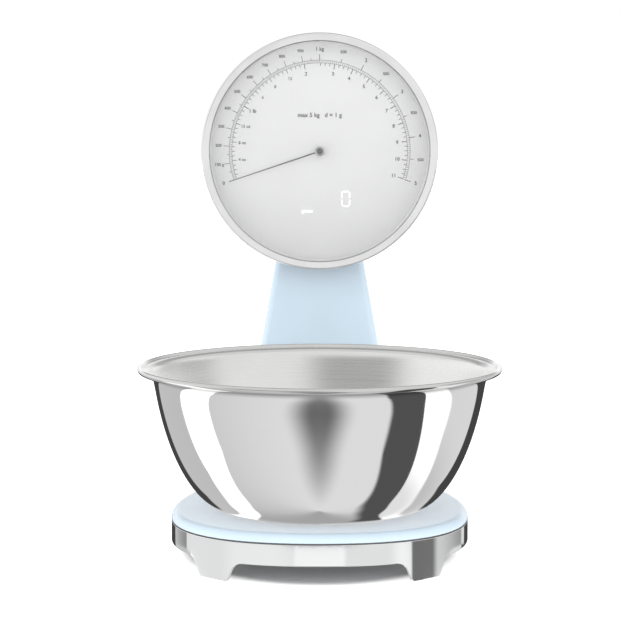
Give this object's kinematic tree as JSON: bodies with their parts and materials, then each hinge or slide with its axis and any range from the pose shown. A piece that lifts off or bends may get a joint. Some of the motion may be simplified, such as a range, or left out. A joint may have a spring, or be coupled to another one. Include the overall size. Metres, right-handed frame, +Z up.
{
  "type": "kitchen scale",
  "caption": "Retro kitchen scale: steel bowl on a pastel weighing plate, round dial head on a hollow column, chromed footed base.",
  "frame": {"origin": "on the worktop, under the middle of the whole scale's box", "axes": "+Z up, the dial faces -Y, +X to the right as the dial is read"},
  "size_m": [0.24, 0.296, 0.3479],
  "materials": {
    "chrome": "mirror polished chrome plating",
    "bowl_steel": "mirror polished outside, fine satin inside",
    "pastel_gloss": "high gloss pastel blue",
    "dial_white": "satin pale grey, printed",
    "clear_window": "clear and polished",
    "needle_black": "dark satin lacquer",
    "dark_plastic": "moulded",
    "black_rubber": "moulded, matt",
    "grey_plastic": "moulded, fine grain",
    "circuit_board": "green solder resist",
    "cell_alloy": "milled",
    "bright_steel": "ground",
    "zinc_steel": "zinc plated",
    "cell_jacket": "printed film over steel",
    "cable_sheath": "soft sheath"
  },
  "bodies": {
    "root": {"base_skirt": "chrome", "bezel_ring": "chrome", "column_front": "pastel_gloss", "column_rear": "pastel_gloss", "head_shell": "pastel_gloss", "dial_face": "dial_white", "dial_surround": "dial_white", "dial_window": "clear_window", "battery_holder": "dark_plastic", "needle_motor": "dark_plastic", "digit_display": "dark_plastic", "window_seal": "black_rubber", "rubber_foot_front_right": "black_rubber", "rubber_foot_front_left": "black_rubber", "rubber_foot_rear_right": "black_rubber", "rubber_foot_rear_left": "black_rubber", "bottom_cover": "grey_plastic", "chassis": "grey_plastic", "dial_carrier": "grey_plastic", "main_board": "circuit_board", "display_board": "circuit_board", "button_board": "circuit_board", "load_cell": "cell_alloy", "column_spine": "zinc_steel", "battery_contact_left": "zinc_steel", "battery_contact_right": "zinc_steel", "cover_screw_1": "zinc_steel", "cover_screw_2": "zinc_steel", "cover_screw_3": "zinc_steel", "cover_screw_4": "zinc_steel", "cell_screw_fixed_1": "zinc_steel", "cell_screw_fixed_2": "zinc_steel", "column_screw_1": "zinc_steel", "column_screw_2": "zinc_steel", "spine_screw_1": "zinc_steel", "spine_screw_2": "zinc_steel", "head_mount_screw_1": "zinc_steel", "head_mount_screw_2": "zinc_steel", "head_screw_1": "zinc_steel", "head_screw_2": "zinc_steel", "head_screw_3": "zinc_steel", "head_screw_4": "zinc_steel", "battery_1": "cell_jacket", "battery_2": "cell_jacket", "battery_3": "cell_jacket", "battery_4": "cell_jacket", "wire_loom": "cable_sheath", "cell_cable": "cable_sheath"},
    "needle": {"needle": "needle_black", "needle_cap": "needle_black", "needle_shaft": "bright_steel"},
    "platform": {"weighing_plate": "pastel_gloss", "plate_bracket": "zinc_steel", "cell_screw_moving_1": "zinc_steel", "cell_screw_moving_2": "zinc_steel"},
    "bowl": {"bowl": "bowl_steel"},
    "battery_door": {"battery_door": "pastel_gloss"},
    "button_tare": {"button_tare": "chrome"},
    "button_unit": {"button_unit": "chrome"},
    "button_mode": {"button_mode": "chrome"}
  },
  "joints": [
    {"name": "needle_turn", "type": "hinge", "parent": "root", "child": "needle", "pos_m": [0, 0.105, 0.2639], "axis": [0, 1, 0], "range_deg": [0, 217]},
    {"name": "platform_press", "type": "slide", "parent": "root", "child": "platform", "axis": [0, 0, 1], "range_m": [-0.0003, 0], "stiffness_N_per_m": 120000, "springref_m": 0.0001},
    {"name": "bowl_lift", "type": "slide", "parent": "platform", "child": "bowl", "axis": [0, 0, 1], "range_m": [0, 0.32]},
    {"name": "battery_door_hinge", "type": "hinge", "parent": "root", "child": "battery_door", "pos_m": [0, 0.13167, 0.0474], "axis": [-1, 0, 0], "range_deg": [0, 100]},
    {"name": "button_tare_press", "type": "slide", "parent": "root", "child": "button_tare", "axis": [0, -1, 0], "range_m": [0, 0.001], "stiffness_N_per_m": 900, "springref_m": -0.001},
    {"name": "button_unit_press", "type": "slide", "parent": "root", "child": "button_unit", "axis": [0, -1, 0], "range_m": [0, 0.001], "stiffness_N_per_m": 900, "springref_m": -0.001},
    {"name": "button_mode_press", "type": "slide", "parent": "root", "child": "button_mode", "axis": [0, -1, 0], "range_m": [0, 0.001], "stiffness_N_per_m": 900, "springref_m": -0.001}
  ]
}
